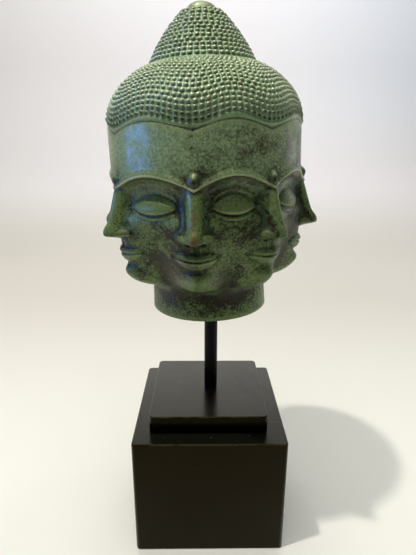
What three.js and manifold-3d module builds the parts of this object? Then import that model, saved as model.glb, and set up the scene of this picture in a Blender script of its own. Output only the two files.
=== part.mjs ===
// A cast brass head with eight faces round it, which share their eyes, held by a rod over a stepped block.
// Millimetres, +Z up. The origin is the centre of the block's underside, and -Y is the front.
import * as THREE from 'three';
import { RoundedBoxGeometry } from 'three/addons/geometries/RoundedBoxGeometry.js';
import { mergeVertices } from 'three/addons/utils/BufferGeometryUtils.js';
import Module from 'manifold-3d';

// The stand
const BLOCK_SIDE = 121;
const BLOCK_HEIGHT = 102.5;
const STEP_SIDE = 94;
const STEP_HEIGHT = 15;
const STEP_LEFT = 1; // the step sits a little off the middle of the block
const EDGE_RADIUS = 1.4;
const ROD_DIAMETER = 11;
const ROD_SIDES = 24;
const ROD_SHOWING = 80; // between the step and the neck
const ROD_IN_BLOCK = 30; // below the step
const ROD_IN_HEAD = 45; // above the neck's underside
const ROD_CLEARANCE = 0.3; // round the rod and at both of its ends
const ROD_RIGHT = 1.4; // the rod stands a little off the middle

// The head, in one casting. It stands a little turned and leans a little to one side.
const HEAD_HEIGHT = 218;
const HEAD_TURN_DEG = -6.1;
const HEAD_LEAN_DEG = 1.8;
const FACE_SPANS_DEG = [42.4, 47, 43.7, 43.7, 43.7, 43.7, 43.7, 52.1]; // from nose to nose, going right
const FACES = FACE_SPANS_DEG.length;
const NECK_RIM = 5; // width of the rim round the underside of the neck
const NECK_RECESS = 3.2; // depth of the underside inside that rim

// The carving keeps its proportions: every size below is a share of the head's height,
// written as it measures on a head 218 mm tall.
const share = HEAD_HEIGHT / 218;
const HALF_FACE = Math.PI / FACES; // from a nose round to the shared eye
const FACE_RADIUS = 70 * share; // where widths round the head are measured

// Heights above the underside of the neck: a face in three equal parts, from hairline to brow to nose to chin
const HAIRLINE = 131 * share;
const CHIN = 29 * share;
const THIRD = (HAIRLINE - CHIN) / 3;
const BROW = HAIRLINE - THIRD;
const NOSE = CHIN + THIRD;
const MOUTH = NOSE - THIRD / 3;
const EYE = BROW - THIRD / 3;

// How far each line rises from the nose to the middle of the shared eye
const HAIRLINE_RISE = 6.6 * share;
const BROW_RISE = 9 * share;
const BAND_FOOT = 134.6 * share; // a groove lies below this height, and a smooth band above it
const BAND_FOOT_RISE = 4.8 * share;
const BAND_TOP = 136 * share; // the curls start here
const BAND_TOP_RISE = 5.8 * share;

// Skull without its features, as [height, radius]: in the plane of a nose, and between two faces
const NOSE_PLANE = [
  [0, 45.5], [21, 44.5], [24.5, 48], [27, 57.5], [30.5, 63.5], [37, 66.5], [46, 68], [57, 70.5],
  [68, 71.5], [82, 71], [97, 71], [131, 70.5], [140, 70.5],
].map(([z, r]) => [z * share, r * share]);
const EYE_PLANE = [
  [0, 45.5], [17, 45], [24, 46.5], [31, 50.5], [41, 56.5], [52, 61.5], [64, 65.5], [76, 68],
  [90, 69], [108, 70.5], [131, 70.5], [140, 70.5],
].map(([z, r]) => [z * share, r * share]);

// Features: how far each one stands out, and its half width and half height
const NOSE_OUT = 12.5 * share;
const BRIDGE = { out: 0.2, halfWidth: 5.5 * share, spread: 3.5 * share };
const NOSE_TIP = { out: 2.2 * share, up: 6 * share, halfWidth: 6.5 * share, halfHeight: 6.5 * share };
const NOSE_WING = { out: 4.4 * share, side: 7 * share, up: 4.4 * share, halfWidth: 5.4 * share };
const LIPS = { out: 3.2 * share, halfWidth: 15 * share, upper: 5 * share, lower: 6 * share };
const SMILE = 2.2 * share; // rise of the corners of the mouth
const MOUTH_GROOVE = { depth: 1.6 * share, halfHeight: 1.6 * share };
const CHIN_BOSS = { out: 3.4 * share, up: 8.5 * share, halfWidth: 12 * share, halfHeight: 9 * share };
const BROW_RIDGE = { out: 1.5 * share, halfHeight: 2.4 * share };
const SOCKET = { depth: 4.2 * share, fall: 7 * share, fade: 10 * share };
const LID = { out: 5.4 * share, halfWidth: 16.5 * share, sag: 4.2 * share };
const CREASE = { corner: 2 * share, height: 11 * share }; // above the lid's edge
const LID_EDGE = { depth: 1.9 * share, sharp: 0.7 * share, fade: 7 * share };
const LOWER_LID = { out: 1.3 * share, down: 3 * share, halfHeight: 1.9 * share };
const BROW_DROP = { out: 3.9 * share, up: 6.6 * share, halfWidth: 4 * share, halfHeight: 4.8 * share };
const HAIR_GROOVE = 1.7 * share;

// Hair: a dome that ends in a step, and a taller crown on it with a smooth knob
const DOME = { radius: 70 * share, foot: 139 * share, height: 46 * share, sweep: 0.945 };
const CROWN = { radius: 37.2 * share, foot: 178.5 * share, height: 33 * share, slope: 0.46 };
const CROWN_BOW = 0.0082 / share;
const KNOB_RADIUS = 10.8 * share;
const CURL_OUT = 1.7 * share;
const CURL_PITCH = 6.6 * share; // drawn two thirds larger than the real curls, so that fewer are needed
const DOME_CURL_ROWS = 9;
const CROWN_CURL_ROWS = 6;
const CURL_VALLEY = 0.6 * share; // between two rows with different numbers of curls

// Angles from the nose, as shares of half a face, at which the faces have a column of points
const FACE_COLUMNS = [0, 0.09, 0.2, 0.35, 0.53, 0.75, 1];
const PLAIN_COLUMNS = [0, 0.35, 0.68, 1]; // on the neck and along the hairline

const { lerp, smoothstep, clamp, degToRad, euclideanModulo } = THREE.MathUtils;
const bell = (q) => (Math.abs(q) < 1 ? (1 - q * q) ** 2 : 0);
const oval = (x, z, halfWidth, halfHeight) => Math.hypot(x / halfWidth, z / halfHeight);

// A smooth curve through [height, value] points, which never swings past them
function through(points, z) {
  const last = points.length - 1;
  const slope = (i) => (points[i + 1][1] - points[i][1]) / (points[i + 1][0] - points[i][0]);
  const tangent = (i) => {
    if (i === 0) return slope(0);
    if (i === last) return slope(last - 1);
    const [before, after] = [slope(i - 1), slope(i)];
    return before * after <= 0 ? 0 : (2 * before * after) / (before + after);
  };
  const i = clamp(points.findIndex((p) => p[0] > z) - 1, 0, last - 1);
  const [[z0, v0], [z1, v1]] = [points[i], points[i + 1]];
  const gap = z1 - z0;
  const t = clamp((z - z0) / gap, 0, 1);
  return (
    v0 * (1 + 2 * t) * (1 - t) ** 2 +
    v1 * t * t * (3 - 2 * t) +
    gap * (tangent(i) * t * (1 - t) ** 2 + tangent(i + 1) * t * t * (t - 1))
  );
}

// Where each nose is round the head, and the first one again after a full turn
const noses = [0];
for (const span of FACE_SPANS_DEG) {
  noses.push(noses.at(-1) + degToRad(span));
}

// How far round from a nose: 0 at a nose and HALF_FACE in the middle of a shared eye, however wide the face is
function fromNose(azimuth) {
  const turn = euclideanModulo(azimuth, 2 * Math.PI);
  const next = clamp(noses.findIndex((nose) => nose > turn), 1, FACES);
  const part = (turn - noses[next - 1]) / (noses[next] - noses[next - 1]);
  return 2 * HALF_FACE * Math.min(part, 1 - part);
}

// Lines round the head, from their height at a nose to their height between two faces
const wave = (angle) => (1 - Math.cos((Math.PI * angle) / HALF_FACE)) / 2;
const rise = (angle) => Math.sin((Math.PI / 2) * (angle / HALF_FACE));
const level = (atNose, atEye) => (angle) => lerp(atNose, atEye, wave(angle));
const scallop = (low, height) => (angle) => low + height * rise(angle);
const hairline = scallop(HAIRLINE, HAIRLINE_RISE);
const brow = scallop(BROW, BROW_RISE);
const bandFoot = level(BAND_FOOT, BAND_FOOT + BAND_FOOT_RISE);
const bandTop = level(BAND_TOP, BAND_TOP + BAND_TOP_RISE);

// 1 in the middle of the shared eye, falling to 0 at its corners
const narrowing = (angle) => Math.max(0, 1 - (((HALF_FACE - angle) * FACE_RADIUS) / LID.halfWidth) ** 2);
const lidEdge = (angle) => EYE - LID.sag * narrowing(angle);
const lidCrease = (angle) => lidEdge(angle) + CREASE.corner + CREASE.height * narrowing(angle);

function nose(x, z) {
  const down = (BROW - z) / (BROW - NOSE); // 0 at the brow, 1 at the base of the nose
  const root = smoothstep(down, -0.2, 0.1);
  const base = smoothstep(z, NOSE - 0.5 * share, NOSE + 3.5 * share);
  const ridge = NOSE_OUT * lerp(BRIDGE.out, 1, clamp(down, 0, 1)) * root;
  const bridge = ridge * bell(x / (BRIDGE.halfWidth + BRIDGE.spread * clamp(down, 0, 1)));
  const tip = NOSE_TIP.out * bell(oval(x, z - NOSE - NOSE_TIP.up, NOSE_TIP.halfWidth, NOSE_TIP.halfHeight));
  const fromWing = Math.hypot(x - NOSE_WING.side, z - NOSE - NOSE_WING.up) / NOSE_WING.halfWidth;
  return (bridge + tip + NOSE_WING.out * bell(fromWing)) * base;
}

function mouth(x, z) {
  const across = x / LIPS.halfWidth;
  if (across >= 1) return 0;
  const taper = Math.sqrt(1 - across * across);
  const above = z - MOUTH - SMILE * across * across;
  const reach = (above > 0 ? LIPS.upper : LIPS.lower) * taper;
  const lip = LIPS.out * taper * Math.sqrt(Math.max(0, 1 - (above / reach) ** 2));
  return lip - MOUTH_GROOVE.depth * taper * bell(above / MOUTH_GROOVE.halfHeight);
}

// A lowered lid, sharp along its edge, and the lower lid under it
function eye(angle, z) {
  const width = narrowing(angle);
  const below = lidEdge(angle) - z;
  const upLid = -below / (lidCrease(angle) - lidEdge(angle));
  const fade = (1 - smoothstep(upLid, 0.2, 1.12)) * (1 - smoothstep(below, 0, 9 * share));
  const edge = smoothstep(below, 0, LID_EDGE.sharp) * (1 - smoothstep(below, 2 * share, LID_EDGE.fade));
  const lowerLid = LOWER_LID.out * bell((below - LOWER_LID.down) / LOWER_LID.halfHeight);
  return LID.out * fade * width ** 0.7 - LID_EDGE.depth * edge * width ** 0.4 + lowerLid * width;
}

// The groove that draws the hairline: sharp along the forehead, and sloping out again to the band
function hairGroove(angle, z) {
  const lip = hairline(angle);
  const top = bandFoot(angle);
  return HAIR_GROOVE * smoothstep(z, lip, lip + 0.5 * share) * clamp((top - z) / (top - lip), 0, 1) ** 0.8;
}

// Distance from the head's own axis at one angle from the nose and one height, up to the top of the band
function faceRadius(angle, z) {
  const x = angle * FACE_RADIUS;
  const lobe = Math.cos((Math.PI / 2) * (angle / HALF_FACE)) ** 2;
  const skull = lerp(through(EYE_PLANE, z), through(NOSE_PLANE, z), lobe);
  const underBrow = brow(angle) - z;
  const besideNose = smoothstep(x, 3 * share, 10 * share);
  const socket = smoothstep(underBrow, 0, SOCKET.fall) * smoothstep(z - lidEdge(angle), -SOCKET.fade, share);
  return (
    skull +
    nose(x, z) +
    mouth(x, z) +
    eye(angle, z) +
    CHIN_BOSS.out * bell(oval(x, z - CHIN - CHIN_BOSS.up, CHIN_BOSS.halfWidth, CHIN_BOSS.halfHeight)) +
    BROW_RIDGE.out * bell(underBrow / BROW_RIDGE.halfHeight) -
    SOCKET.depth * socket * besideNose +
    BROW_DROP.out * bell(oval(x, z - BROW - BROW_DROP.up, BROW_DROP.halfWidth, BROW_DROP.halfHeight)) ** 0.6 -
    hairGroove(angle, z)
  );
}

// Heights of the rows of points up the faces, which run along the features
const above = (line, by) => (angle) => line(angle) + by * share;
const rowsUpNeck = [level(0.8 * share, 0.8 * share), level(13 * share, 13 * share)];
const rowsUpFace = [
  level(22 * share, 21 * share),
  level(25.3 * share, 25 * share),
  level(27.3 * share, 29.5 * share),
  level(30.5 * share, 34 * share),
  level(36.5 * share, 39.5 * share),
  level(42.5 * share, 45 * share),
  level(MOUTH - 5.2 * share, MOUTH - 3 * share),
  level(MOUTH - 2.4 * share, MOUTH),
  level(MOUTH, MOUTH + 3 * share),
  level(MOUTH + 2.2 * share, MOUTH + 5.5 * share),
  level(MOUTH + 5 * share, MOUTH + 8 * share),
  level(NOSE - 0.5 * share, NOSE + 1 * share),
  level(NOSE + 2.4 * share, NOSE + 4 * share),
  level(NOSE + 5.5 * share, NOSE + 7.5 * share),
  level(NOSE + 10.5 * share, NOSE + 12 * share),
  above(lidEdge, -3.4),
  above(lidEdge, -0.9),
  above(lidEdge, 0.3),
  level(EYE + 3 * share, EYE + 3.5 * share),
  above(lidCrease, 0),
  above(brow, -3.4),
  brow,
  above(brow, 2.4),
  level(BROW + 7.5 * share, BROW + 15 * share),
  level(BROW + 14 * share, BROW + 20 * share),
];
const rowsUpHairline = [hairline, above(hairline, 0.5), bandFoot, bandTop];

// Points of a solid that is built up in rings round the head's axis, each a list of vertex numbers
class RingMesh {
  vertices = [];
  triangles = [];

  point(azimuth, radius, z) {
    this.vertices.push(radius * Math.sin(azimuth), -radius * Math.cos(azimuth), z);
    return this.vertices.length / 3 - 1;
  }

  ring(azimuths, at) {
    return { azimuths, points: azimuths.map((azimuth) => this.point(azimuth, ...at(azimuth))) };
  }

  // A strip of triangles between two rings, which may have different numbers of points
  stitch(lower, upper) {
    const turn = (ring, i) => (i < ring.points.length ? ring.azimuths[i] : 2 * Math.PI);
    const vertex = (ring, i) => ring.points[i % ring.points.length];
    let [i, j] = [0, 0];
    while (i < lower.points.length || j < upper.points.length) {
      const lowerFirst = j >= upper.points.length || turn(lower, i + 1) <= turn(upper, j + 1) + 1e-6;
      if (i < lower.points.length && lowerFirst) {
        this.triangles.push(vertex(lower, i), vertex(lower, i + 1), vertex(upper, j));
        i += 1;
      } else {
        this.triangles.push(vertex(lower, i), vertex(upper, j + 1), vertex(upper, j));
        j += 1;
      }
    }
  }

  // One low pyramid for each pair of neighbours in two rings with as many points
  curls(lower, upper, peak) {
    const count = lower.points.length;
    for (let i = 0; i < count; i += 1) {
      const next = (i + 1) % count;
      const top = this.point(...peak(lower.azimuths[i] + Math.PI / count));
      const corners = [lower.points[i], lower.points[next], upper.points[next], upper.points[i]];
      corners.forEach((corner, side) => this.triangles.push(corner, corners[(side + 1) % 4], top));
    }
  }

  fan(ring, z, facesUp) {
    const centre = this.point(0, 0, z);
    ring.points.forEach((vertex, i) => {
      const next = ring.points[(i + 1) % ring.points.length];
      this.triangles.push(...(facesUp ? [vertex, next, centre] : [next, vertex, centre]));
    });
  }

  geometry() {
    const made = new THREE.BufferGeometry();
    made.setAttribute('position', new THREE.Float32BufferAttribute(this.vertices, 3));
    made.setIndex(this.triangles);
    return made;
  }
}

// The dome's and the crown's profile from foot to top, in equal steps, as [radius, height, slope angle]
function domeAt(along) {
  const sweep = DOME.sweep * (1.17 * along - 0.17 * along * along);
  const tilt = Math.atan2(DOME.radius * Math.sin(sweep), DOME.height * Math.cos(sweep));
  return [DOME.radius * Math.cos(sweep), DOME.foot + DOME.height * Math.sin(sweep), tilt];
}

function crownAt(along) {
  const up = CROWN.height * (1.06 * along - 0.06 * along * along);
  const radius = CROWN.radius - CROWN.slope * up - CROWN_BOW * up * up;
  return [radius, CROWN.foot + up, Math.atan(CROWN.slope + 2 * CROWN_BOW * up)];
}

// A point of the hair, raised off the profile at right angles to it
function raised([radius, z, tilt], out) {
  return [radius + out * Math.cos(tilt), z + out * Math.sin(tilt)];
}

const evenly = (count) => Array.from({ length: count }, (_, i) => (i * 2 * Math.PI) / count);

// The columns of half a face, mirrored and repeated right round the head
function allRound(halfFace) {
  const mirrored = halfFace.slice(1, -1).map((part) => 2 - part).reverse();
  const oneFace = [...halfFace, ...mirrored].map((part) => part / 2);
  return FACE_SPANS_DEG.flatMap((_, i) => oneFace.map((part) => lerp(noses[i], noses[i + 1], part)));
}

const curlsAround = (radius) => FACES * Math.round((2 * Math.PI * radius) / CURL_PITCH / FACES);

// Rows of curls from one ring to the next, up a profile whose foot may wave
function growCurls(mesh, start, rows, profile, alongAt) {
  let below = start;
  for (let row = 0; row < rows; row += 1) {
    const [radius] = profile(alongAt(0, row + 0.5));
    const count = curlsAround(radius);
    if (count !== below.points.length) {
      const valley = CURL_VALLEY / CURL_PITCH;
      const foot = mesh.ring(evenly(count), (azimuth) => raised(profile(alongAt(azimuth, row + valley)), 0));
      mesh.stitch(below, foot);
      below = foot;
    }
    const top = mesh.ring(evenly(count), (azimuth) => raised(profile(alongAt(azimuth, row + 1)), 0));
    mesh.curls(below, top, (azimuth) => [azimuth, ...raised(profile(alongAt(azimuth, row + 0.5)), CURL_OUT)]);
    below = top;
  }
  return below;
}

function headGeometry() {
  const mesh = new RingMesh();
  const faceColumns = allRound(FACE_COLUMNS);
  const plainColumns = allRound(PLAIN_COLUMNS);
  const neckRadius = NOSE_PLANE[0][1];
  const circle = (radius, z) => mesh.ring(plainColumns, () => [radius, z]);
  const ceiling = circle(neckRadius - NECK_RIM, NECK_RECESS);
  mesh.fan(ceiling, NECK_RECESS, false);
  let below = ceiling;
  for (const next of [circle(neckRadius - NECK_RIM, 0), circle(neckRadius - 0.8 * share, 0)]) {
    mesh.stitch(below, next);
    below = next;
  }
  const zones = [[rowsUpNeck, plainColumns], [rowsUpFace, faceColumns], [rowsUpHairline, plainColumns]];
  for (const [rows, columns] of zones) {
    for (const row of rows) {
      const next = mesh.ring(columns, (azimuth) => {
        const angle = fromNose(azimuth);
        return [faceRadius(angle, row(angle)), row(angle)];
      });
      mesh.stitch(below, next);
      below = next;
    }
  }

  // The first rows of curls follow the hairline, and the last ones are level.
  const alongTo = (z) => Math.asin((z - DOME.foot) / DOME.height) / DOME.sweep / 1.17;
  const lowest = alongTo(BAND_TOP);
  const upDome = (azimuth, row) => {
    const up = row / DOME_CURL_ROWS;
    const rises = alongTo(bandTop(fromNose(azimuth))) - lowest;
    return lerp(lowest, 1, up) + rises * Math.sqrt(1 - up);
  };
  below = growCurls(mesh, below, DOME_CURL_ROWS, domeAt, upDome);

  const step = mesh.ring(evenly(curlsAround(CROWN.radius)), () => raised(crownAt(0), 0));
  mesh.stitch(below, step);
  below = growCurls(mesh, step, CROWN_CURL_ROWS, crownAt, (_, row) => row / CROWN_CURL_ROWS);

  const knobFoot = CROWN.foot + CROWN.height;
  const knobRings = [[1, 0], [0.87, 0.5], [0.6, 0.8], [0.31, 0.95]];
  for (const [across, up] of knobRings) {
    const round = () => [KNOB_RADIUS * across, lerp(knobFoot, HEAD_HEIGHT, up)];
    const next = mesh.ring(evenly(2 * FACES), round);
    mesh.stitch(below, next);
    below = next;
  }
  mesh.fan(below, HEAD_HEIGHT, true);
  return mesh.geometry();
}

const wasm = await Module();
wasm.setup();

function solid(geometry) {
  const bare = geometry.clone();
  bare.deleteAttribute('normal');
  bare.deleteAttribute('uv');
  const merged = mergeVertices(bare, 1e-4);
  return new wasm.Manifold(
    new wasm.Mesh({
      numProp: 3,
      vertProperties: merged.attributes.position.array,
      triVerts: new Uint32Array(merged.index.array),
    }),
  );
}

// One geometry with another cut out of it
function cut(geometry, tool) {
  const { vertProperties, triVerts } = solid(geometry).subtract(solid(tool)).getMesh();
  const made = new THREE.BufferGeometry();
  made.setAttribute('position', new THREE.Float32BufferAttribute(vertProperties, 3));
  made.setIndex(new THREE.Uint32BufferAttribute(triVerts, 1));
  made.computeVertexNormals();
  return made;
}

// An upright cylinder between two heights, where the rod stands
function upright(radius, bottom, top) {
  return new THREE.CylinderGeometry(radius, radius, top - bottom, ROD_SIDES)
    .rotateX(Math.PI / 2)
    .translate(ROD_RIGHT, 0, (bottom + top) / 2);
}

const stepTop = BLOCK_HEIGHT + STEP_HEIGHT;
const neckFoot = stepTop + ROD_SHOWING;
const rodFoot = BLOCK_HEIGHT - ROD_IN_BLOCK;
const rodTop = neckFoot + ROD_IN_HEAD;
const rodRadius = ROD_DIAMETER / 2;
const rodHole = upright(rodRadius + ROD_CLEARANCE, rodFoot - ROD_CLEARANCE, rodTop + ROD_CLEARANCE);

const blackPaint = { color: 0x14120e, roughness: 0.5, metalness: 0 };
const blackSteel = { color: 0x0b0b0a, roughness: 0.4, metalness: 0.6 };
const greenBrass = { color: 0x46603e, roughness: 0.45, metalness: 0.5, flatShading: true };

function slab(side, height, left, bottom) {
  const plain = new RoundedBoxGeometry(side, side, height, 1, EDGE_RADIUS);
  return cut(plain.translate(-left, 0, bottom + height / 2), rodHole);
}

const dressed = (geometry, look) => new THREE.Mesh(geometry, new THREE.MeshStandardMaterial(look));

const block = dressed(slab(BLOCK_SIDE, BLOCK_HEIGHT, 0, 0), blackPaint);
const step = dressed(slab(STEP_SIDE, STEP_HEIGHT, STEP_LEFT, BLOCK_HEIGHT), blackPaint);
const rod = dressed(upright(rodRadius, rodFoot, rodTop), blackSteel);

const head = dressed(headGeometry(), greenBrass);
head.position.z = neckFoot;
head.rotation.set(0, degToRad(-HEAD_LEAN_DEG), degToRad(HEAD_TURN_DEG), 'YXZ');
head.updateMatrix();
head.geometry = cut(head.geometry, rodHole.clone().applyMatrix4(head.matrix.clone().invert()));

const model = new THREE.Group();
for (const [name, mesh] of Object.entries({ block, step, rod, head })) {
  mesh.name = name;
  model.add(mesh);
}

export default model;
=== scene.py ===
import math

import bmesh
import bpy
import numpy as np
from mathutils import Matrix, Vector


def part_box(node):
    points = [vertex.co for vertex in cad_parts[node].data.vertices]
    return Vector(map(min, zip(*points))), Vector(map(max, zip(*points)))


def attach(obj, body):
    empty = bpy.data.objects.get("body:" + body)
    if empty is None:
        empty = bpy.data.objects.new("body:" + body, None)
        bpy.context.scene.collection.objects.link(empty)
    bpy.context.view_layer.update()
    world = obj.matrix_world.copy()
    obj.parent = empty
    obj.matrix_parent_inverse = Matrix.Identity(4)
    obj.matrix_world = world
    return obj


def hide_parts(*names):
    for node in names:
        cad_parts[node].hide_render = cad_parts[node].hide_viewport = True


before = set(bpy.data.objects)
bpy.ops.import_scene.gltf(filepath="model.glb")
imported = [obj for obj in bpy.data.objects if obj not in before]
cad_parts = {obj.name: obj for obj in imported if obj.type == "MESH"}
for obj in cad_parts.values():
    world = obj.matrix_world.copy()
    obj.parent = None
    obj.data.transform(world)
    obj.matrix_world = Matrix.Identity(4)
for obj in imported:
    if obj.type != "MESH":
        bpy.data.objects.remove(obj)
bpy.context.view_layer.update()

# The head's sizes are in 218ths of its height, which are millimetres on this head.
HEAD_HEIGHT = 0.218
HEAD_UNITS = 218
UNIT = HEAD_HEIGHT / HEAD_UNITS
ROD_SHOWING = 0.080
HEAD_TURN = math.radians(-6.1)
HEAD_LEAN = math.radians(1.8)
FACE_SPANS = [42.4, 47, 43.7, 43.7, 43.7, 43.7, 43.7, 52.1]  # degrees, nose to nose, going right
FACES = len(FACE_SPANS)
HALF_FACE = math.pi / FACES
NOSES = np.radians(np.concatenate([[0], np.cumsum(FACE_SPANS)]))
FACE_RADIUS = 70  # where widths round the head are measured

# The underside of the neck, and the hole for the rod
NECK_RIM = 5
NECK_RECESS = 3.2
ROD_IN_HEAD = 45
ROD_HOLE_RADIUS = 5.8
ROD_RIGHT = 1.4  # the rod stands a little off the middle

# Heights above the underside: a face in equal thirds
HAIRLINE = 131
CHIN = 29
THIRD = (HAIRLINE - CHIN) / 3
BROW = HAIRLINE - THIRD
NOSE = CHIN + THIRD
MOUTH = NOSE - THIRD / 3
EYE = BROW - THIRD / 3

# How far each line rises between a nose and the shared eye beside it
HAIRLINE_RISE = 6.6
BROW_RISE = 9
BAND_FOOT = 134.6
BAND_FOOT_RISE = 4.8
BAND_TOP = 136
BAND_TOP_RISE = 5.8

# The radius at each height, before the features: under the nose's ridge, and between two faces
NOSE_PLANE = [
    (0, 45.5), (21, 44.5), (24.5, 48), (27, 57.5), (30.5, 63.5), (37, 66.5), (46, 68), (57, 70.5),
    (68, 71.5), (82, 71), (97, 71), (131, 70.5), (140, 70.5),
]
EYE_PLANE = [
    (0, 45.5), (17, 45), (24, 46.5), (31, 50.5), (41, 56.5), (52, 61.5), (64, 65.5), (76, 68),
    (90, 69), (108, 70.5), (131, 70.5), (140, 70.5),
]

# Features that are long or have an edge
RIDGE = {"out": 12.5, "share_at_root": 0.2, "flat": 0.6, "root_width": 6.2, "foot_width": 9.2}
LIPS = {"out": 3.2, "half_width": 15, "rise": 2.2, "upper": 5, "lower": 6, "notch": 0.16}
PARTING = {"depth": 1.7, "half_height": 1.3}
PHILTRUM = {"depth": 0.8, "half_width": 3}
LID = {"out": 5.4, "half_width": 16.5, "sag": 4.2, "fade": 9}
LID_EDGE = {"depth": 1.9, "sharp": 0.7, "near": 2, "far": 7}
LID_CREASE = {"corner": 2, "height": 11, "depth": 0.8, "half_height": 1.5}
LOWER_LID = {"out": 1.3, "down": 3, "half_height": 1.9}
BROW_RIDGE = {"out": 1.5, "rise": 4.5, "sharp": 1.5}
SOCKET = {"depth": 4.2, "fall": 7, "fade": 10}
BROW_DROP = {"out": 3.8, "up": 6.2, "foot_width": 3.6, "tip_width": 2, "half_height": 4.4}
HAIR_GROOVE = 0.9

# Round features: beside the nose's middle line, above the underside, and out from the skin or into it
NOSE_TIP = {"side": 0, "up": NOSE + 6, "half_width": 6.2, "half_height": 6.5, "out": 2.05}
NOSE_WING = {"side": 7.6, "up": NOSE + 4.4, "half_width": 5, "half_height": 5.6, "out": 4.6}
WING_CREASE = {"side": 9.6, "up": NOSE + 8.2, "half_width": 3.2, "half_height": 3.4, "out": -0.7}
NOSTRIL = {"side": 4.6, "up": NOSE + 0.4, "half_width": 2.6, "half_height": 1.9, "out": -2.4}
MOUTH_CORNER = {"side": 15.5, "up": MOUTH + 2.6, "half_width": 3.2, "half_height": 3, "out": -1.3}
UNDER_LIPS = {"side": 0, "up": MOUTH - 8.6, "half_width": 11, "half_height": 3.2, "out": -1.1}
CHIN_BOSS = {"side": 0, "up": CHIN + 8.5, "half_width": 12, "half_height": 9, "out": 3.4}

# Hair
DOME = {"radius": 70, "foot": 139, "height": 46, "sweep": 0.945}
CROWN = {"radius": 37.2, "foot": 178.5, "height": 33, "slope": 0.46, "bow": 0.0082}
KNOB = {"radius": 10.8, "foot": 211.5, "top": 217.96}
DOME_COUNTS = [112] * 5 + [104] * 3 + [96] * 3 + [88] * 4  # curls in each row, going up
DOME_ROWS = len(DOME_COUNTS)
DOME_BUNCHING = 0.17  # how much closer the rows are at the top than on average
CROWN_ROWS = 12
CROWN_BUNCHING = 0.06
CROWN_PITCH = 3.9
CURL_RELIEF = 0.36  # of the distance between curls
VALLEY = 0.09  # of a row, where the number of curls changes


def bell(q):
    return np.clip(1 - q * q, 0, None) ** 2


def ease(q, low, high):
    t = np.clip((q - low) / (high - low), 0, 1)
    return t * t * (3 - 2 * t)


def oval(x, z, half_width, half_height):
    return np.hypot(x / half_width, z / half_height)


def boss(x, z, side, up, half_width, half_height, out):
    """A round feature that fades into the skin round it."""
    return out * bell(oval(x - side, z - up, half_width, half_height))


def mix(a, b, t):
    return a + (b - a) * t


def through(points, z):
    """A smooth curve through (height, value) points that never swings past them."""
    heights, values = np.array(points, float).T
    slopes = np.diff(values) / np.diff(heights)
    before, after = slopes[:-1], slopes[1:]
    together = before * after > 0
    inner = np.where(together, 2 * before * after / np.where(together, before + after, 1), 0)
    tangents = np.concatenate([slopes[:1], inner, slopes[-1:]])
    i = np.clip(np.searchsorted(heights, z, side="right") - 1, 0, len(heights) - 2)
    gap = heights[i + 1] - heights[i]
    t = np.clip((z - heights[i]) / gap, 0, 1)
    return (
        values[i] * (1 + 2 * t) * (1 - t) ** 2
        + values[i + 1] * t * t * (3 - 2 * t)
        + gap * (tangents[i] * t * (1 - t) ** 2 + tangents[i + 1] * t * t * (t - 1))
    )


def from_nose(azimuth):
    """The angle from the nearest nose, as if all faces were equally wide."""
    faces_round = np.interp(np.mod(azimuth, 2 * math.pi), NOSES, np.arange(FACES + 1))
    part = np.mod(faces_round, 1)
    return 2 * HALF_FACE * np.minimum(part, 1 - part)


# Lines round the head: each gives a height for an angle from the nose.
def level(at_nose, at_eye):
    return lambda angle: mix(at_nose, at_eye, (1 - np.cos(math.pi * angle / HALF_FACE)) / 2)


def scallop(low, rise):
    return lambda angle: low + rise * np.sin(math.pi / 2 * angle / HALF_FACE)


def above(line, by):
    return lambda angle: line(angle) + by


hairline = scallop(HAIRLINE, HAIRLINE_RISE)
brow = scallop(BROW, BROW_RISE)
band_foot = level(BAND_FOOT, BAND_FOOT + BAND_FOOT_RISE)
band_top = level(BAND_TOP, BAND_TOP + BAND_TOP_RISE)


def narrowing(angle):
    """1 in the middle of the shared eye, falling to 0 at its corners."""
    return np.clip(1 - ((HALF_FACE - angle) * FACE_RADIUS / LID["half_width"]) ** 2, 0, None)


def lid_edge(angle):
    return EYE - LID["sag"] * narrowing(angle)


def lid_crease(angle):
    return lid_edge(angle) + LID_CREASE["corner"] + LID_CREASE["height"] * narrowing(angle)


def mouth_line(x):
    return MOUTH + LIPS["rise"] * np.clip(x / LIPS["half_width"], 0, 1) ** 2


def nose(x, z):
    down = (BROW - z) / (BROW - NOSE)
    root = ease(down, -0.2, 0.1)
    down = np.clip(down, 0, 1)
    foot = NOSE + 0.5 * (x / 8) ** 2
    base = ease(z, foot - 0.8, foot + 2.8)
    ridge = RIDGE["out"] * mix(RIDGE["share_at_root"], 1, down) * root
    side = 1 - ease(x, RIDGE["flat"], mix(RIDGE["root_width"], RIDGE["foot_width"], down))
    round_forms = boss(x, z, **NOSE_TIP) + boss(x, z, **NOSE_WING) + boss(x, z, **WING_CREASE)
    return (ridge * side + round_forms) * base + boss(x, z, **NOSTRIL)


def mouth(x, z):
    taper = np.sqrt(1 - np.clip(x / LIPS["half_width"], 0, 1) ** 2)
    over = z - mouth_line(x)
    upper = LIPS["upper"] * (1 - LIPS["notch"] * bell(x / PHILTRUM["half_width"]))
    reach = np.where(over > 0, upper, LIPS["lower"]) * taper + 1e-6
    lips = LIPS["out"] * taper * np.clip(1 - (over / reach) ** 2, 0, None) ** 0.6
    parting = PARTING["depth"] * taper * bell(over / PARTING["half_height"])
    philtrum = PHILTRUM["depth"] * bell(x / PHILTRUM["half_width"])
    philtrum *= ease(z, MOUTH + 4, MOUTH + 6) * (1 - ease(z, NOSE - 2, NOSE + 1))
    return lips - parting - philtrum + boss(x, z, **MOUTH_CORNER) + boss(x, z, **UNDER_LIPS)


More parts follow.
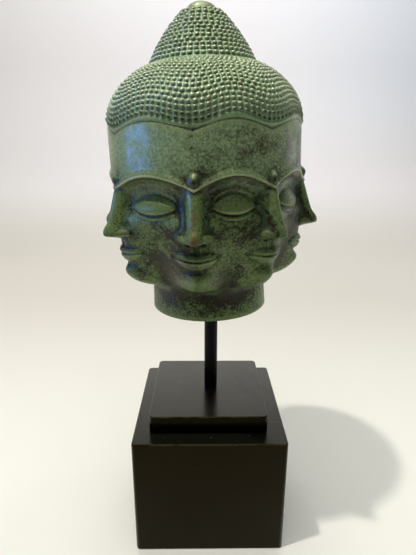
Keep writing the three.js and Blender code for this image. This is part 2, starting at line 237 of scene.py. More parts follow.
def eye(angle, z):
    """A lowered lid, sharp along its edge and creased above, and the lower lid under it."""
    width = narrowing(angle)
    edge, crease = lid_edge(angle), lid_crease(angle)
    below = edge - z
    lid = LID["out"] * width**0.7 * ease((z - edge) / (crease - edge), 1.12, 0.2)
    lid *= ease(below, LID["fade"], 0)
    step = LID_EDGE["depth"] * width**0.4 * ease(below, 0, LID_EDGE["sharp"])
    step *= ease(below, LID_EDGE["far"], LID_EDGE["near"])
    lower_lid = LOWER_LID["out"] * width
    lower_lid *= bell((below - LOWER_LID["down"]) / LOWER_LID["half_height"])
    fold = LID_CREASE["depth"] * ease(width, 0, 0.4)
    fold *= bell((z - crease) / LID_CREASE["half_height"])
    return lid - step + lower_lid - fold


def brow_ridge(angle, z):
    """A crest that rises slowly from the forehead and falls off sharply below."""
    under = brow(angle) - z
    rising = ease(under, -BROW_RIDGE["rise"], 0)
    return BROW_RIDGE["out"] * rising * (1 - ease(under, 0.15, BROW_RIDGE["sharp"]))


def brow_drop(x, z):
    """A small drop over the nose that narrows upward."""
    up = z - BROW - BROW_DROP["up"]
    half_width = mix(BROW_DROP["foot_width"], BROW_DROP["tip_width"], ease(up, -1, 4))
    return BROW_DROP["out"] * bell(oval(x, up, half_width, BROW_DROP["half_height"])) ** 0.5


def socket(angle, z):
    """The hollow between the brow and the lid."""
    under_brow = ease(brow(angle) - z, 0.2, SOCKET["fall"])
    over_lid = ease(z - lid_edge(angle), -SOCKET["fade"], 1)
    return SOCKET["depth"] * under_brow * over_lid * ease(angle * FACE_RADIUS, 3, 10)


def hair_groove(angle, z):
    """A sharp step in at the hairline that fades out up to the smooth band."""
    lip, top = hairline(angle), band_foot(angle)
    fading = np.clip((top - z) / (top - lip), 0, 1) ** 0.8
    return HAIR_GROOVE * ease(z, lip - 0.5, lip + 1.5) * fading


def face_radius(angle, z):
    x = angle * FACE_RADIUS
    lobe = np.cos(math.pi / 2 * angle / HALF_FACE) ** 2
    skull = mix(through(EYE_PLANE, z), through(NOSE_PLANE, z), lobe)
    features = nose(x, z) + mouth(x, z) + eye(angle, z) + brow_ridge(angle, z)
    features += boss(x, z, **CHIN_BOSS) + brow_drop(x, z)
    return skull + features - socket(angle, z) - hair_groove(angle, z)


# Lines that the mesh follows up the face, and the number of rows up to each from the one before
FACE_ROWS = [
    (level(0.7, 0.7), 1), (level(19, 17), 6), (level(24.5, 24), 4), (level(31, 35), 8),
    (level(42, 45), 9), (level(MOUTH - 6, MOUTH - 3.5), 4), (level(MOUTH, MOUTH + 3), 8),
    (level(MOUTH + 6.2, MOUTH + 9), 7), (level(NOSE - 1.2, NOSE + 1.2), 5),
    (level(NOSE + 3.2, NOSE + 5), 7), (level(NOSE + 11, NOSE + 12.5), 7),
    (above(lid_edge, -4.4), 4), (above(lid_edge, -0.8), 5), (above(lid_edge, 0.1), 3),
    (above(lid_crease, -1.6), 5), (above(lid_crease, 1.6), 5),
    (above(brow, -5.5), 3), (above(brow, -1.6), 4), (above(brow, 0.2), 4), (above(brow, 3), 4),
    (level(BROW + 15, BROW + 21), 10), (above(hairline, -0.5), 7), (hairline, 1),
    (above(hairline, 0.5), 2), (band_foot, 4), (band_top, 2),
]


def face_lines():
    """Every row of the mesh up the face, as a height for each angle."""
    lower = level(0, 0)
    for upper, rows in FACE_ROWS:
        for row in range(1, rows + 1):
            yield lambda angle, a=lower, b=upper, t=row / rows: mix(a(angle), b(angle), t)
        lower = upper


def dome_at(along):
    """The dome's radius, height and slope, for 0 at its foot to 1 at its top."""
    bunched = (1 + DOME_BUNCHING) * along - DOME_BUNCHING * along * along
    sweep = DOME["sweep"] * bunched
    tilt = np.arctan2(DOME["radius"] * np.sin(sweep), DOME["height"] * np.cos(sweep))
    return DOME["radius"] * np.cos(sweep), DOME["foot"] + DOME["height"] * np.sin(sweep), tilt


def crown_at(along):
    bunched = (1 + CROWN_BUNCHING) * along - CROWN_BUNCHING * along * along
    up = CROWN["height"] * bunched
    radius = CROWN["radius"] - CROWN["slope"] * up - CROWN["bow"] * up * up
    return radius, CROWN["foot"] + up, np.arctan(CROWN["slope"] + 2 * CROWN["bow"] * up)


def dome_curls(azimuth, row):
    """The first rows of curls follow the hairline, and the last ones are level."""
    foot, lowest = (
        np.arcsin((z - DOME["foot"]) / DOME["height"]) / DOME["sweep"] / (1 + DOME_BUNCHING)
        for z in (band_top(from_nose(azimuth)), BAND_TOP)
    )
    up = row / DOME_ROWS
    return dome_at(mix(lowest, 1, up) + (foot - lowest) * np.sqrt(1 - up))


def crown_curls(azimuth, row):
    return crown_at(row / CROWN_ROWS + 0 * azimuth)


class RingMesh:
    """A closed skin built up in rings round the head's axis. Each ring is (angles, vertex numbers)."""

    def __init__(self):
        self.points, self.curl, self.under, self.faces = [], [], [], []
        self.count = 0

    def add(self, azimuth, radius, z, curl=0.0, under=0.0):
        """New points. curl is 1 on top of a curl; under, 1 at the foot of its lower side, is painted
        shade.
        """
        azimuth, radius, z, curl, under = np.broadcast_arrays(azimuth, radius, z, curl, under)
        places = np.stack([radius * np.sin(azimuth), -radius * np.cos(azimuth), z], -1)
        self.points.append(places.reshape(-1, 3))
        self.curl.append(curl.ravel())
        self.under.append(under.ravel())
        numbers = self.count + np.arange(azimuth.size).reshape(azimuth.shape)
        self.count += azimuth.size
        return numbers

    def ring(self, azimuth, radius, z, curl=0.0):
        return azimuth, self.add(azimuth, radius, z, curl)

    def quads(self, lower, upper):
        """Faces between two rows of vertex numbers of the same length, closed round."""
        corners = [lower, np.roll(lower, -1), np.roll(upper, -1), upper]
        self.faces += np.stack(corners, -1).tolist()

    def join(self, lower, upper):
        if len(lower[1]) == len(upper[1]):
            self.quads(lower[1], upper[1])
        else:
            self.stitch(lower, upper)
        return upper

    def stitch(self, lower, upper):
        """Triangles between two rings with different numbers of points."""
        low_turns = np.append(lower[0], 2 * math.pi)
        up_turns = np.append(upper[0], 2 * math.pi)
        low = np.append(lower[1], lower[1][0]).tolist()
        up = np.append(upper[1], upper[1][0]).tolist()
        i = j = 0
        while i < len(low) - 1 or j < len(up) - 1:
            low_left = i < len(low) - 1
            up_left = j < len(up) - 1
            if not up_left or (low_left and low_turns[i + 1] <= up_turns[j + 1] + 1e-6):
                self.faces.append([low[i], low[i + 1], up[j]])
                i += 1
            else:
                self.faces.append([low[i], up[j + 1], up[j]])
                j += 1

    def fan(self, ring, z, faces_up, curl=0.0):
        centre = int(self.add(0.0, 0.0, z, curl))
        for a, b in zip(ring[1].tolist(), np.roll(ring[1], -1).tolist()):
            self.faces.append([a, b, centre] if faces_up else [b, a, centre])


def evenly(count):
    return np.arange(count) * 2 * math.pi / count


def curl_row(mesh, below, row, surface, count, rng):
    """One row of curls. The ring below has a point at each corner and each middle of a curl's foot."""
    pitch = 2 * math.pi / count
    start = int(rng.integers(2))
    edges = (np.arange(count) + 0.5 * start) * pitch
    middles = edges + 0.5 * pitch
    both = evenly(2 * count)
    sides = mesh.add(edges, *surface(edges, row + 0.5)[:2])
    top = mesh.ring(both, *surface(both, row + 1)[:2])
    low, up = np.roll(below[1], -start), np.roll(top[1], -start)
    border = np.stack(
        [
            low[0::2], low[1::2], np.roll(low[0::2], -1), np.roll(sides, -1),
            np.roll(up[0::2], -1), up[1::2], up[0::2], sides,
        ],
        -1,
    )
    radius, _, _ = surface(middles, row + 0.5)
    relief = CURL_RELIEF * pitch * radius * rng.uniform(0.85, 1.1, count)
    size = rng.uniform(0.92, 1.06, count)
    shift = rng.uniform(-0.08, 0.08, (2, count))
    turn = np.radians([-135, -90, -45, 0, 45, 90, 135, 180])
    fine = np.mean(pitch * radius) > 3.4
    rings = [(0.94, 0), (0.76, 0.55), (0.44, 0.93)] if fine else [(0.9, 0), (0.62, 0.8)]
    # Painted shade on each curl's lower side, strongest at its foot.
    shade_below = np.clip(np.cos(turn + math.radians(70)), 0, 1)
    for across, up_by in rings:
        reach = 0.5 * across * size[:, None]
        x = middles[:, None] + pitch * (shift[0][:, None] + reach * np.cos(turn))
        y = row + 0.5 + shift[1][:, None] + reach * np.sin(turn)
        places = raised(surface(x, y), relief[:, None] * up_by)
        inner = mesh.add(x, *places, curl=up_by, under=shade_below * (1 - up_by**3))
        for k in range(8):
            after = (k + 1) % 8
            corners = [border[:, k], border[:, after], inner[:, after], inner[:, k]]
            mesh.faces += np.stack(corners, -1).tolist()
        border = inner
    x = middles + pitch * shift[0]
    tops = mesh.add(x, *raised(surface(x, row + 0.5 + shift[1]), relief), curl=1.0)
    for k in range(8):
        mesh.faces += np.stack([border[:, k], border[:, (k + 1) % 8], tops], -1).tolist()
    return top


def raised(place, out):
    radius, z, tilt = place
    return radius + out * np.cos(tilt), z + out * np.sin(tilt)


def grow_curls(mesh, below, counts, surface, rng):
    """Rows of curls from one ring up to the next, with as many curls in each row as counts says."""
    for row, count in enumerate(counts):
        both = evenly(2 * count)
        if len(below[1]) != 2 * count:
            below = mesh.join(below, mesh.ring(both, *surface(both, row + VALLEY)[:2]))
        below = curl_row(mesh, below, row, surface, count, rng)
    return below


def crown_count(radius):
    """As many curls as fit round at this radius, in whole eighths."""
    return FACES * round(2 * math.pi * radius / CROWN_PITCH / FACES)


def head_turn():
    return Matrix.Rotation(-HEAD_LEAN, 4, "Y") @ Matrix.Rotation(HEAD_TURN, 4, "Z")


def rod_offset(z):
    """How far the upright rod is from the head's own axis at each height."""
    back = head_turn().inverted()
    foot, up = back @ Vector((ROD_RIGHT, 0, 0)), back @ Vector((0, 0, 1))
    offset = np.array(foot) + (z[:, None] - foot.z) / up.z * np.array(up)
    offset[:, 2] = 0
    return offset


def neck_underside(mesh, hole_top):
    """From the rod's hole across the recess and the rim to the outside of the neck."""
    below = mesh.join(hole_top, mesh.ring(evenly(24), ROD_HOLE_RADIUS, NECK_RECESS))
    in_hole = mesh.count
    neck = NOSE_PLANE[0][1]
    inside = neck - NECK_RIM
    for radius, z in [
        (22, NECK_RECESS), (inside - 0.5, NECK_RECESS), (inside, NECK_RECESS - 0.5),
        (inside, 0.4), (inside + 0.4, 0), (neck - 0.7, 0),
    ]:
        below = mesh.join(below, mesh.ring(evenly(96), radius, z))
    return below, in_hole


def face_columns():
    """The angles of the mesh's columns, closer together at each nose."""
    half = np.linspace(0, 1, 20)
    half = 0.72 * half + 0.28 * half * half
    one_face = np.concatenate([half, 2 - half[-2:0:-1]]) / 2
    return (NOSES[:-1, None] + np.diff(NOSES)[:, None] * one_face).ravel()


def hair(mesh, below, rng):
    below = grow_curls(mesh, below, DOME_COUNTS, dome_curls, rng)
    start = evenly(2 * crown_count(crown_at(0)[0]))
    below = mesh.join(below, mesh.ring(start, *crown_curls(start, 0)[:2]))
    middles = (np.arange(CROWN_ROWS) + 0.5) / CROWN_ROWS
    counts = [crown_count(radius) for radius in crown_at(middles)[0]]
    return grow_curls(mesh, below, counts, crown_curls, rng)


def knob(mesh, below):
    for part in np.linspace(0, 1, 9)[:-1]:
        radius = KNOB["radius"] * math.cos(part * math.pi / 2)
        z = mix(KNOB["foot"], KNOB["top"], math.sin(part * math.pi / 2))
        below = mesh.join(below, mesh.ring(evenly(48), radius, z, min(part * 6, 0.7)))
    mesh.fan(below, KNOB["top"], True, 0.7)


def head_mesh():
    """The head about its own axis, in 218ths of its height."""
    mesh = RingMesh()
    hole = mesh.ring(evenly(24), ROD_HOLE_RADIUS, ROD_IN_HEAD)
    mesh.fan(hole, ROD_IN_HEAD, False)
    below, in_hole = neck_underside(mesh, hole)
    columns = face_columns()
    angle = from_nose(columns)
    for line in face_lines():
        z = line(angle)
        below = mesh.join(below, mesh.ring(columns, face_radius(angle, z), z))
    below = hair(mesh, below, np.random.default_rng(11))
    knob(mesh, below)
    points = np.concatenate(mesh.points)
    points[:in_hole] += rod_offset(points[:in_hole, 2])
    return points, np.concatenate(mesh.curl), np.concatenate(mesh.under), mesh.faces


def vertex_vectors(mesh, name):
    values = np.zeros(3 * len(mesh.vertices), np.float32)
    mesh.vertices.foreach_get(name, values)
    return values.reshape(-1, 3).astype(float)


def vertex_pairs(mesh):
    """The two vertices of every edge."""
    pairs = np.zeros(2 * len(mesh.edges), np.int32)
    mesh.edges.foreach_get("vertices", pairs)
    return pairs.reshape(-1, 2).T


def smoothed(values, pairs, times):
    """Each vertex's value averaged with its neighbours', a number of times over."""
    for _ in range(times):
        total, number = np.zeros_like(values), np.zeros((len(values), 1))
        for a, b in (pairs, pairs[::-1]):
            np.add.at(total, a, values[b])
            np.add.at(number, a, 1)
        values = total / number
    return values


def standing_out(mesh, times):
    """How far each vertex stands out from the skin round it. More times look further round."""
    places = vertex_vectors(mesh, "co")
    lifted = places - smoothed(places, vertex_pairs(mesh), times)
    return np.einsum("ij,ij->i", lifted, vertex_vectors(mesh, "normal")) / UNIT


def store(mesh, name, values):
    attribute = mesh.attributes.new(name, "FLOAT", "POINT")
    attribute.data.foreach_set("value", np.asarray(values, np.float32))


def worn_lines_and_highlight(angle, z):
    """1 along the sharp edges that are rubbed pale, and on the drop's top, where a highlight is
    painted.
    """
    x = angle * FACE_RADIUS
    lines = bell((z - brow(angle) + 0.1) / 0.9) + 0.4 * bell((z - hairline(angle) + 0.6) / 0.7)
    lines += 0.6 * bell((z - lid_edge(angle) - 0.4) / 0.7) * ease(narrowing(angle), 0, 0.3)
    lines += 0.5 * bell((z - mouth_line(x) + 1.6) / 0.8) * ease(x, 15, 11)
    # Painted highlight on the top of the drop.
    lines += boss(x, z, 0, BROW + 9.2, 2.6, 2, 0.6)
    return lines


def painted_groove_shade(angle, z):
    """1 where shade is painted: above the hairline, and below the brow, its drop and the lid."""
    lip, foot, crest = hairline(angle), band_foot(angle), brow(angle)
    over_hairline = ease(z, lip - 0.3, lip + 0.7)
    groove_shade = 0.62 * over_hairline * ease(z, mix(lip, foot, 0.95), mix(lip, foot, 0.5))
    groove_shade += 0.8 * ease(z, crest - 0.6, crest - 1.3) * ease(z, crest - 5, crest - 1.5)
    groove_shade += bell(oval(angle * FACE_RADIUS, z - BROW - 4.6, 5, 4)) ** 0.6
    groove_shade += 0.7 * bell((z - lid_edge(angle) + 1.1) / 1.1) * ease(narrowing(angle), 0, 0.3)
    return np.clip(groove_shade, 0, 1)


def rubbed_nose(points, angle):
    """1 on the ridge and the tip of the front nose, where bare metal shows."""
    x, z = angle * FACE_RADIUS, points[:, 2]
    front = points[:, 1] < -0.95 * np.hypot(points[:, 0], points[:, 1])
    ridge = bell(x / 1.5) * ease(z, NOSE + 2, NOSE + 5) * ease(z, BROW - 6, BROW - 18)
    tip = boss(x, z, 0, NOSE + 4, 4.6, 5, 1)
    return front * np.maximum(ridge, tip)


def head(step_top):
    points, curl, under, faces = head_mesh()
    mesh = bpy.data.meshes.new("head_skin")
    mesh.from_pydata((points * UNIT).tolist(), [], faces)
    mesh.transform(Matrix.Translation((0, 0, step_top + ROD_SHOWING)) @ head_turn())
    mesh.update()
    mesh.shade_smooth()

    angle = from_nose(np.arctan2(points[:, 0], -points[:, 1]))
    z = points[:, 2]
    on_hair = (z > band_top(angle) + 0.3).astype(float)
    lip, foot = hairline(angle), band_foot(angle)
    store(mesh, "curl", curl)
    # under holds the curls' painted shade.
    store(mesh, "under", under)
    store(mesh, "hair", on_hair)
    store(mesh, "near", standing_out(mesh, 1))
    store(mesh, "wide", standing_out(mesh, 12))
    store(mesh, "rubbed", rubbed_nose(points, angle))
    store(mesh, "band", ease(z, mix(lip, foot, 0.6), foot) * (1 - on_hair))
    # crest holds the pale rubbed lines and the drop's painted highlight.
    store(mesh, "crest", worn_lines_and_highlight(angle, z))
    store(mesh, "shade", painted_groove_shade(angle, z))
    store(mesh, "height", z / HEAD_UNITS)
    store(mesh, "leftward", -vertex_vectors(mesh, "co")[:, 0] * ease(z, 60, 100))
    return bpy.data.objects.new("head_skin", mesh)


def linear(red, green, blue):
    """A colour as it looks on screen, from 0 to 255, as Blender's linear values."""
    parts = [c / 255 for c in (red, green, blue)]
    return (*[c / 12.92 if c < 0.04045 else ((c + 0.055) / 1.055) ** 2.4 for c in parts], 1)


class Shader:
    """A new material with one Principled surface, and short calls for the nodes that feed it."""

    def __init__(self, name, **values):
        self.material = bpy.data.materials.new(name)
        self.material.use_nodes = True
        self.tree = self.material.node_tree
        self.surface = self.tree.nodes["Principled BSDF"]
        for name, value in values.items():
            socket = name.replace("_", " ").title().replace("Ior", "IOR")
            self.surface.inputs[socket].default_value = value
        self.place = self.new("ShaderNodeTexCoord").outputs["Object"]

    def new(self, kind, **settings):
        node = self.tree.nodes.new(kind)
        for name, value in settings.items():
            setattr(node, name, value)
        return node

    def feed(self, socket, value):
        if isinstance(value, bpy.types.NodeSocket):
            self.tree.links.new(value, socket)
        else:
            socket.default_value = value

    def to_surface(self, name, value):
        self.feed(self.surface.inputs[name], value)

    def noise(self, size, detail=4, roughness=0.6, stretch=(1, 1, 1), turn=(0, 0, 0)):
        """Noise from 0 to 1 with spots of about this size in metres, longer along a turned axis."""
        mapping = self.new("ShaderNodeMapping", vector_type="TEXTURE")
        self.feed(mapping.inputs["Vector"], self.place)
        mapping.inputs["Rotation"].default_value = [math.radians(angle) for angle in turn]
        mapping.inputs["Scale"].default_value = stretch
        texture = self.new("ShaderNodeTexNoise")
        self.feed(texture.inputs["Vector"], mapping.outputs["Vector"])
        texture.inputs["Scale"].default_value = 0.5 / size
        texture.inputs["Detail"].default_value = detail
        texture.inputs["Roughness"].default_value = roughness
        return texture.outputs["Fac"]

    def attribute(self, name):
        return self.new("ShaderNodeAttribute", attribute_name=name).outputs["Fac"]

    def math(self, operation, a, b=0.0):
        node = self.new("ShaderNodeMath", operation=operation)
        self.feed(node.inputs[0], a)
        self.feed(node.inputs[1], b)
        return node.outputs[0]

    def times(self, a, b):
        return self.math("MULTIPLY", a, b)

    def sum(self, *parts):
        """Values added up, each times its weight."""
        total = 0.0
        for value, weight in parts:
            total = self.math("ADD", total, self.times(value, weight))
        return total

    def between(self, value, low, high, to_low=0.0, to_high=1.0):
        """A smooth step from to_low, where the value is low, to to_high, where it is high."""
        node = self.new("ShaderNodeMapRange", interpolation_type="SMOOTHSTEP")
        self.feed(node.inputs["Value"], value)
        node.inputs["From Min"].default_value = low
        node.inputs["From Max"].default_value = high
        node.inputs["To Min"].default_value = to_low
        node.inputs["To Max"].default_value = to_high
        return node.outputs["Result"]

    def axes(self, vector):
        """The X, Y and Z of a vector."""
        split = self.new("ShaderNodeSeparateXYZ")
        self.feed(split.inputs["Vector"], vector)
        return split.outputs["X"], split.outputs["Y"], split.outputs["Z"]

    def facing_up(self):
        _, _, up = self.axes(self.new("ShaderNodeNewGeometry").outputs["Normal"])
        return self.between(up, 0.7, 0.98)

    def blend(self, amount, under, over):
        node = self.new("ShaderNodeMix", data_type="RGBA")
        self.feed(node.inputs["Factor"], amount)
        self.feed(node.inputs["A"], under)
        self.feed(node.inputs["B"], over)
        return node.outputs["Result"]

    def bump(self, height, depth, strength):
        node = self.new("ShaderNodeBump")
        self.feed(node.inputs["Height"], height)
        node.inputs["Distance"].default_value = depth
        node.inputs["Strength"].default_value = strength
        self.to_surface("Normal", node.outputs["Normal"])


def patina():
    """Cast brass under a waxed green patina, darker and browner down the face."""
    made = Shader("green_patina", specular_ior_level=0.22, coat_roughness=0.17)
    blotches = made.noise(0.018, 4, 0.6)
    mottle = made.noise(0.005, 8, 0.75)
    grain = made.noise(0.0008, 4, 0.75)
    rising = made.noise(0.0008, 5, 0.7, stretch=(1, 1, 5), turn=(20, 62, 0))
    falling = made.noise(0.0008, 5, 0.7, stretch=(1, 1, 5), turn=(-20, -54, 0))
    height = made.attribute("height")
    near = made.attribute("near")
    curl = made.attribute("curl")
    on_hair = made.attribute("hair")
    off_hair = made.math("SUBTRACT", 1, on_hair)

    upper = made.between(height, 0.3, 0.48)
    prominent = made.between(made.attribute("wide"), -0.5, 0.5)
    left = made.between(made.attribute("leftward"), -0.02, 0.04)
    cover = made.sum(
        (blotches, 0.38), (mottle, 0.22), (grain, 0.12), (rising, 0.14), (falling, 0.14),
        (upper, 0.045), (prominent, 0.07), (left, 0.05),
    )
    fine = made.between(grain, 0.38, 0.62)
    low_brown = made.blend(fine, linear(18, 16, 5), linear(56, 54, 27))
    low_green = made.blend(fine, linear(64, 82, 42), linear(118, 140, 84))
    high_brown = made.blend(fine, linear(56, 56, 34), linear(94, 94, 62))
    high_green = made.blend(fine, linear(118, 142, 98), linear(162, 186, 142))
    low_skin = made.blend(made.between(cover, 0.525, 0.605), low_brown, low_green)
    high_skin = made.blend(made.between(cover, 0.505, 0.63), high_brown, high_green)
    skin = made.blend(made.between(height, 0.4, 0.58), low_skin, high_skin)

    # The curls' tops: rubbed metal, with painted shade on the low rows, which face sideways, and a
    # painted highlight on the dome and the crown.
    shaded_low_cap, lit_dome_cap, lit_crown_cap = linear(46, 50, 30), linear(193, 200, 165), linear(172, 178, 146)
    cap_with_painted_light = made.blend(made.between(height, 0.635, 0.71), shaded_low_cap, lit_dome_cap)
    cap_with_painted_light = made.blend(made.between(height, 0.81, 0.86), cap_with_painted_light, lit_crown_cap)
    valley = made.between(mottle, 0.3, 0.7)
    valley = made.blend(valley, linear(132, 164, 116), linear(174, 204, 158))
    curls = made.blend(made.between(curl, 0.3, 0.9), valley, cap_with_painted_light)
    # Painted shade on the lower side of each curl.
    curls = made.blend(made.times(made.attribute("under"), 0.7), curls, linear(38, 46, 26))
    skin = made.blend(made.times(made.attribute("band"), 0.7), skin, valley)
    skin = made.blend(on_hair, skin, curls)

    hollow = made.times(made.between(near, -0.02, -0.1), made.between(mottle, 0.42, 0.6))
    hollow = made.times(made.times(hollow, off_hair), 0.5)
    proud = made.times(made.times(made.between(near, 0.02, 0.09), off_hair), 0.45)
    rubbed = made.times(made.attribute("rubbed"), made.between(mottle, 0.38, 0.6, 0.35, 0.8))
    # Pale rubbed edges, and the drop's painted highlight.
    worn_and_highlight = made.times(made.attribute("crest"), made.between(mottle, 0.35, 0.55, 0.35, 0.9))
    verdigris, pale_green, shadow = linear(88, 126, 90), linear(112, 136, 84), linear(34, 34, 18)
    bare_metal, pale_edge_and_highlight = linear(106, 60, 30), linear(196, 202, 152)
    skin = made.blend(hollow, skin, verdigris)
    skin = made.blend(proud, skin, pale_green)
    skin = made.blend(made.attribute("shade"), skin, shadow)
    skin = made.blend(rubbed, skin, bare_metal)
    skin = made.blend(worn_and_highlight, skin, pale_edge_and_highlight)

    wax = made.between(made.sum((mottle, 0.5), (grain, 0.5)), 0.44, 0.55, 0.6, 0.03)
    made.to_surface("Base Color", skin)
    made.to_surface("Metallic", made.between(curl, 0.4, 0.95, 0.08, 0.6))
    made.to_surface("Roughness", made.between(mottle, 0.3, 0.7, 0.32, 0.5))
    made.to_surface("Coat Weight", made.times(wax, made.between(height, 0.3, 0.5, 0.2, 1)))
    made.bump(made.sum((mottle, 0.8), (grain, 0.6), (rising, 0.3), (falling, 0.3)), 0.0004, 0.9)
    return made.material


def black_paint():
    """Satin paint, brown where light shines through it and rubbed lighter along its upper edges, with
    a painted highlight there and painted shade on the step's upright faces.
    """
    made = Shader("black_paint", specular_ior_level=0.42, specular_tint=(0.16, 0.12, 0.01, 1))
    cloud = made.noise(0.05, 3, 0.5)
    grain = made.noise(0.0012, 3, 0.6)
    dust = made.times(made.facing_up(), made.between(made.noise(0.0009, 1, 0.3), 0.76, 0.8))
    patches = made.between(made.noise(0.012, 4, 0.7), 0.4, 0.55)
    rubbed = made.times(made.attribute("edge"), patches)
    paint = made.blend(cloud, linear(14, 9, 1), linear(22, 15, 2))
    paint = made.blend(made.facing_up(), paint, linear(20, 21, 15))
    # Painted shade: the step's upright faces are made near black.
    paint = made.blend(made.attribute("dark"), paint, linear(3, 3, 2))
    # Rubbed paint and a painted highlight along the upper edges.
    paint = made.blend(rubbed, paint, linear(84, 80, 62))
    made.to_surface("Base Color", made.blend(dust, paint, linear(110, 108, 90)))
    made.to_surface("Roughness", made.between(cloud, 0.3, 0.7, 0.22, 0.3))
    made.bump(grain, 0.0001, 0.2)
    return made.material


def black_steel():
    made = Shader("black_steel", specular_ior_level=0.1)
    grain = made.noise(0.002, 4, 0.6, stretch=(1, 1, 7))
    made.to_surface("Base Color", made.blend(grain, linear(5, 5, 4), linear(12, 12, 9)))
    made.to_surface("Roughness", made.between(grain, 0.3, 0.7, 0.34, 0.46))
    return made.material


def slab(name, node, corner, edge, shaded_sides=False):
    """A square piece the size of its CAD node, with rounded corners and less rounded edges."""
    low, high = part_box(node)
    mesh = bpy.data.meshes.new(name)
    shape = bmesh.new()
    bmesh.ops.create_cube(shape, size=1)
    bmesh.ops.scale(shape, vec=high - low, verts=shape.verts)
    upright = [e for e in shape.edges if abs(e.verts[0].co.z - e.verts[1].co.z) > edge]
    bmesh.ops.bevel(shape, geom=upright, offset=corner, segments=6, profile=0.5, affect="EDGES")
    flat = [e for e in shape.edges if abs(e.verts[0].co.z - e.verts[1].co.z) < edge]
    bmesh.ops.bevel(shape, geom=flat, offset=edge, segments=4, profile=0.5, affect="EDGES")
    bmesh.ops.translate(shape, vec=(low + high) / 2, verts=shape.verts)
    shape.to_mesh(mesh)
    shape.free()
    mesh.shade_smooth()
    keep_flat(mesh)
    # Marks the upright faces for painted shade when asked.
    sides = [shaded_sides and abs(vertex.normal.z) < 0.3 for vertex in mesh.vertices]
    store(mesh, "dark", sides)
    return bpy.data.objects.new(name, mesh)


def keep_flat(mesh):
    """Shade the large faces flat, turn on the rounded edges, and mark the upper edges to be rubbed
    lighter, with a painted highlight.
    """
    normals = [vertex.normal.copy() for vertex in mesh.vertices]
    wear_and_highlight = np.array([0.4 * (vertex.normal.z > 0.2) for vertex in mesh.vertices])
    largest = max(face.area for face in mesh.polygons)
    for face in mesh.polygons:
        if face.area > largest / 20:
            for vertex in face.vertices:
                normals[vertex] = face.normal
                wear_and_highlight[vertex] = 0
    mesh.normals_split_custom_set_from_vertices(normals)
    store(mesh, "edge", wear_and_highlight)


def rod(name, node):
    low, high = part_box(node)
    radius, length = (high.x - low.x) / 2, high.z - low.z
    mesh = bpy.data.meshes.new(name)
    shape = bmesh.new()
    bmesh.ops.create_cone(
        shape, cap_ends=True, segments=64, radius1=radius, radius2=radius, depth=length
    )
    bmesh.ops.translate(shape, vec=(low + high) / 2, verts=shape.verts)
    shape.to_mesh(mesh)
    shape.free()
    mesh.shade_smooth()
    mesh.set_sharp_from_angle(angle=math.radians(40))
    return bpy.data.objects.new(name, mesh)


def dress(piece, node, material):
    bpy.context.scene.collection.objects.link(piece)
    piece.data.materials.append(material)
    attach(piece, "root")
    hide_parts(node)


def camera():
    """The photograph's view: 416 x 555 pixels, from in front and a little above."""
    image_height = 555
    focal_length = 430.7  # in the photograph's pixels
    place = (-0.0057, -0.3375, 0.3201)
    down, right, roll = (math.radians(angle) for angle in (16.9, 0.76, 0.22))
    data = bpy.data.cameras.new("camera")
    data.sensor_width = 36
    data.lens = focal_length / image_height * data.sensor_width
    data.clip_start = 0.01
    made = bpy.data.objects.new("camera", data)
    made.matrix_world = (
        Matrix.Translation(place)
        @ Matrix.Rotation(-right, 4, "Z")
        @ Matrix.Rotation(math.pi / 2 - down, 4, "X")
        @ Matrix.Rotation(roll, 4, "Z")
    )
    bpy.context.scene.collection.objects.link(made)
    bpy.context.scene.camera = made


def backdrop_mesh():
    """A table top that curves up into a wall behind."""
    front, bend, reach, top, half_width, steps = -0.45, 0.8, 0.6, 2.6, 2.6, 16
    profile = [(front, 0), (bend, 0)]
    for step in range(1, steps + 1):
        turn = math.pi / 2 * step / steps
        profile.append((bend + reach * math.sin(turn), reach * (1 - math.cos(turn))))
    profile.append((bend + reach, top))
    mesh = bpy.data.meshes.new("floor")
    points = [(side * half_width, y, z) for y, z in profile for side in (-1, 1)]
    strips = [(2 * i, 2 * i + 1, 2 * i + 3, 2 * i + 2) for i in range(len(profile) - 1)]
    mesh.from_pydata(points, [], strips)
    mesh.shade_smooth()
    return mesh


def pale_floor():
    """Off-white, warmer on the table and bluer up the wall to the right. Painted light: the table
    darkens towards the wall and the wall brightens upward.
    """
    made = Shader("pale_floor", roughness=1, specular_ior_level=0)
    x, y, z = made.axes(made.place)
    # Painted shade: the table darkens towards the wall.
    table = made.blend(made.between(y, -0.05, 0.6), linear(242, 242, 234), linear(215, 211, 203))
    # Painted light: the wall is lighter higher up and bluer to the right.
    high_wall = made.blend(made.between(x, 0.1, 0.9), linear(247, 246, 248), linear(240, 246, 255))
    wall = made.blend(made.between(z, 0.2, 0.6), linear(238, 236, 237), high_wall)
    made.to_surface("Base Color", made.blend(made.between(z, 0, 0.2), table, wall))
    return made.material


def studio():
    """The backdrop. The room in front of it is dark."""
    floor = bpy.data.objects.new("floor", backdrop_mesh())
    bpy.context.scene.collection.objects.link(floor)
    floor.data.materials.append(pale_floor())


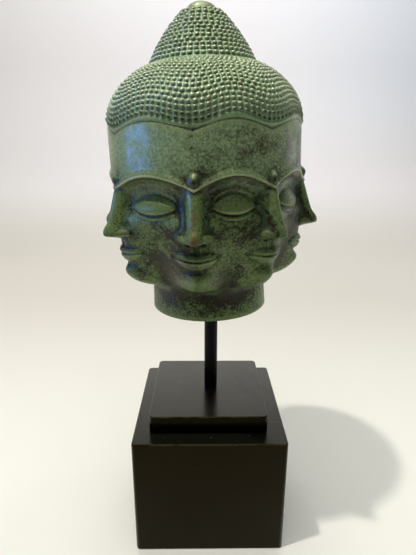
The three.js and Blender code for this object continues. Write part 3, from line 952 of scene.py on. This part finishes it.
def lamp(name, place, target, size, power, colour, spread=180, diffuse=True, glossy=True):
    """A lamp that faces the target. Its size is its width and height."""
    data = bpy.data.lights.new(name, "AREA")
    data.shape = "RECTANGLE"
    data.size, data.size_y = size
    data.energy = power
    data.color = colour
    data.spread = math.radians(spread)
    made = bpy.data.objects.new(name, data)
    made.location = place
    made.visible_camera = False
    made.visible_diffuse = diffuse
    made.visible_glossy = glossy
    made.rotation_mode = "QUATERNION"
    made.rotation_quaternion = (Vector(target) - Vector(place)).to_track_quat("-Z", "Y")
    bpy.context.scene.collection.objects.link(made)


def lights():
    """A small lamp casts the shadow, large ones fill it, and two show in the shine alone."""
    middle, chin = (0, 0, 0.27), (0, 0, 0.3)
    warm, white, cool = (1, 0.96, 0.88), (1, 0.99, 0.94), (0.97, 0.97, 1)
    lamp("overhead", (-0.61, -0.3, 2), middle, (0.07, 0.07), 18.5, warm)
    lamp("ceiling", (0, -0.4, 2.3), (0, 0.05, 0), (1.6, 1.6), 18, white)
    lamp("window", (-1.38, -0.2, 0.4), chin, (0.8, 0.42), 11.5, (0.1, 0.3, 1), diffuse=False)
    lamp("right", (1.15, 0.62, 0.5), middle, (0.6, 1), 2, cool)
    lamp("wall", (0.15, 0.7, 1.7), (0.2, 1.4, 1.2), (1, 1), 2.8, (0.87, 0.88, 1), spread=100)
    lamp("high panel", (-0.1, 1.36, 1.25), chin, (1.6, 1.2), 16, (1, 1, 0.95), glossy=False)
    lamp("low panel", (-0.1, 1.3, 0.7), chin, (1.6, 0.7), 4.3, (1, 1, 0.93), diffuse=False)


def room():
    world = bpy.data.worlds.new("room")
    world.use_nodes = True
    background = world.node_tree.nodes["Background"]
    background.inputs["Color"].default_value = (0.93, 0.95, 1, 1)
    background.inputs["Strength"].default_value = 0.12
    bpy.context.scene.world = world
    bpy.context.scene.view_settings.view_transform = "Standard"


camera()
lights()
room()
studio()
paint = black_paint()
dress(slab("base_block", "block", 0.003, 0.0012), "block", paint)
# The step's upright faces get painted shade.
dress(slab("base_step", "step", 0.0038, 0.001, shaded_sides=True), "step", paint)
dress(rod("support_rod", "rod"), "rod", black_steel())
dress(head(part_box("step")[1].z), "head", patina())
